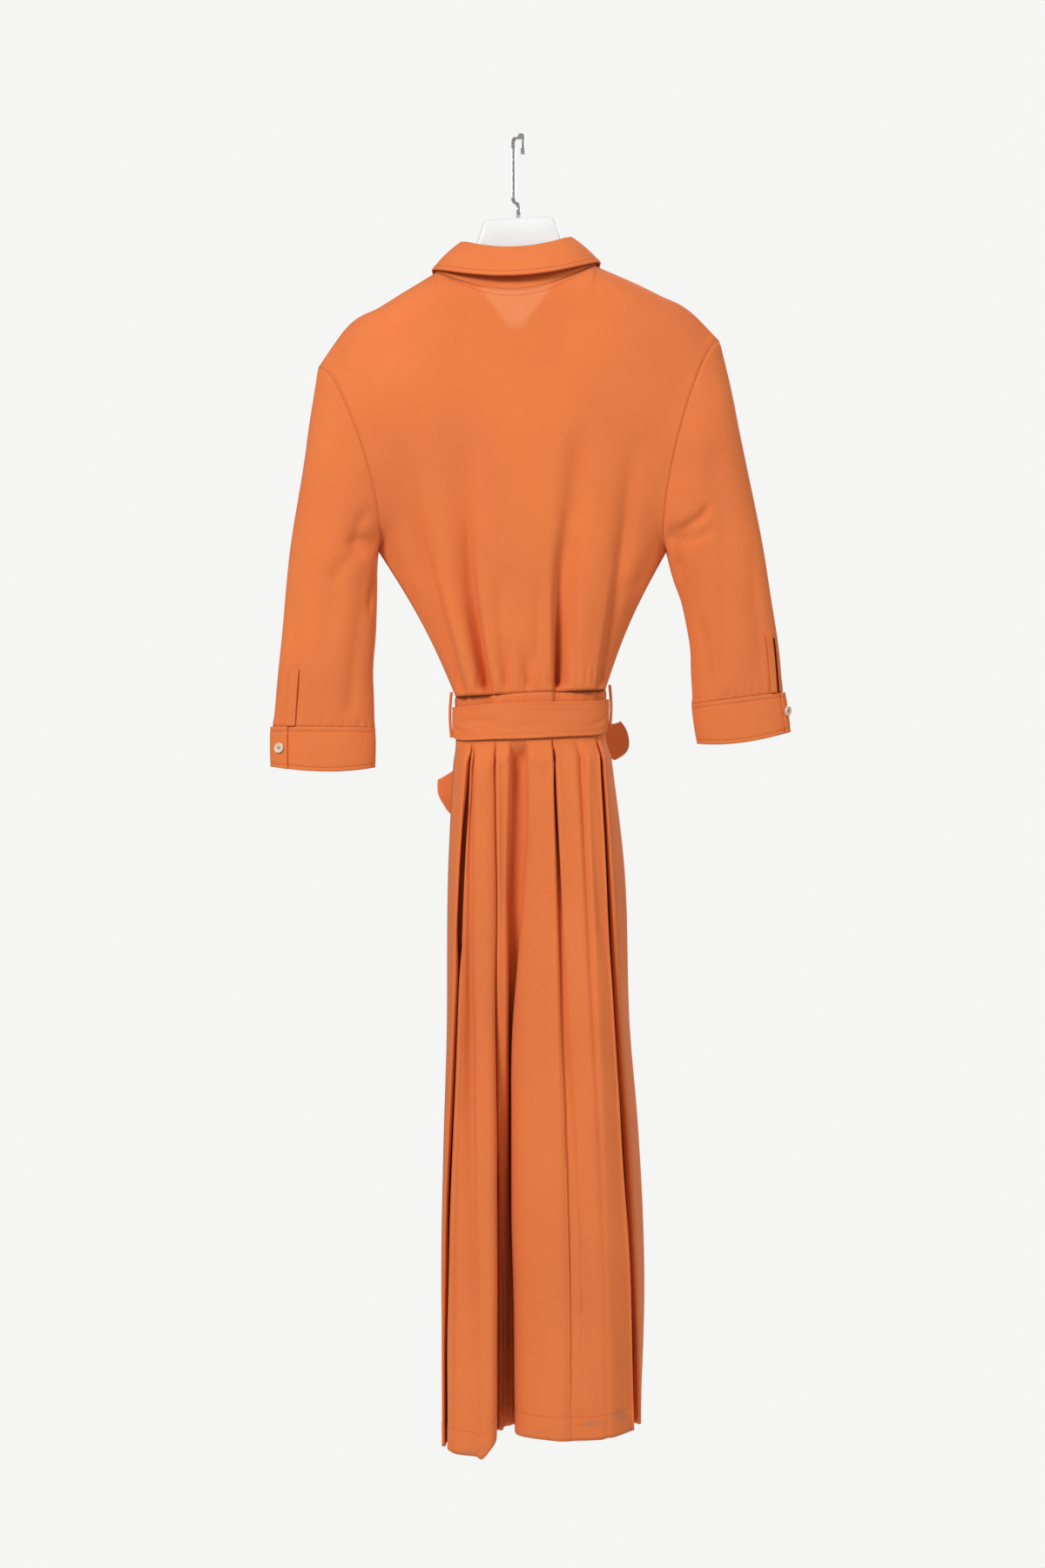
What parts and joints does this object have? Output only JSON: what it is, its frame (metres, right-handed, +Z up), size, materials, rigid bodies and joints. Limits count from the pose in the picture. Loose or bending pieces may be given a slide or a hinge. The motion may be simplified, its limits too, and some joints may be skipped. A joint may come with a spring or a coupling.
{
  "type": "shirt dress on a hanger",
  "caption": "Jersey shirt dress with a tie belt, hung by the hook of its hanger: pleated and gathered waist, deep skirt folds, collar, buttoned cuffs and a buttoned front.",
  "frame": {"origin": "inside top of the hanger's hook, where it rests on a rail", "axes": "+Z up, +X towards the wearer's right, +Y towards the dress's front; the picture looks along +Y at the back"},
  "size_m": [0.5623, 0.1598, 1.4138],
  "materials": {
    "orange_jersey": "fine cotton jersey knit, matt with a faint nap",
    "ivory_button": "ivory button resin, four holes, soft gloss",
    "white_plastic": "moulded white plastic, satin",
    "chromed_steel": "polished chrome on flat steel strip"
  },
  "bodies": {
    "root": {"belt_band": "orange_jersey", "belt_carrier_left": "orange_jersey", "belt_carrier_right": "orange_jersey", "belt_knot": "orange_jersey", "belt_tail_left": "orange_jersey", "belt_tail_right": "orange_jersey", "bodice_back": "orange_jersey", "bodice_front_left": "orange_jersey", "bodice_front_right": "orange_jersey", "bow_loop_left": "orange_jersey", "bow_loop_right": "orange_jersey", "collar_leaf": "orange_jersey", "collar_stand": "orange_jersey", "cuff_button_left": "ivory_button", "cuff_button_right": "ivory_button", "cuff_left": "orange_jersey", "cuff_right": "orange_jersey", "front_button_1": "ivory_button", "front_button_10": "ivory_button", "front_button_11": "ivory_button", "front_button_2": "ivory_button", "front_button_3": "ivory_button", "front_button_4": "ivory_button", "front_button_5": "ivory_button", "front_button_6": "ivory_button", "front_button_7": "ivory_button", "front_button_8": "ivory_button", "front_button_9": "ivory_button", "hanger_body": "white_plastic", "hanger_hook": "chromed_steel", "placket_bodice": "orange_jersey", "placket_skirt": "orange_jersey", "skirt_back": "orange_jersey", "skirt_front_left": "orange_jersey", "skirt_front_right": "orange_jersey", "sleeve_left": "orange_jersey", "sleeve_right": "orange_jersey", "slit_binding_left": "orange_jersey", "slit_binding_right": "orange_jersey"}
  },
  "joints": []
}
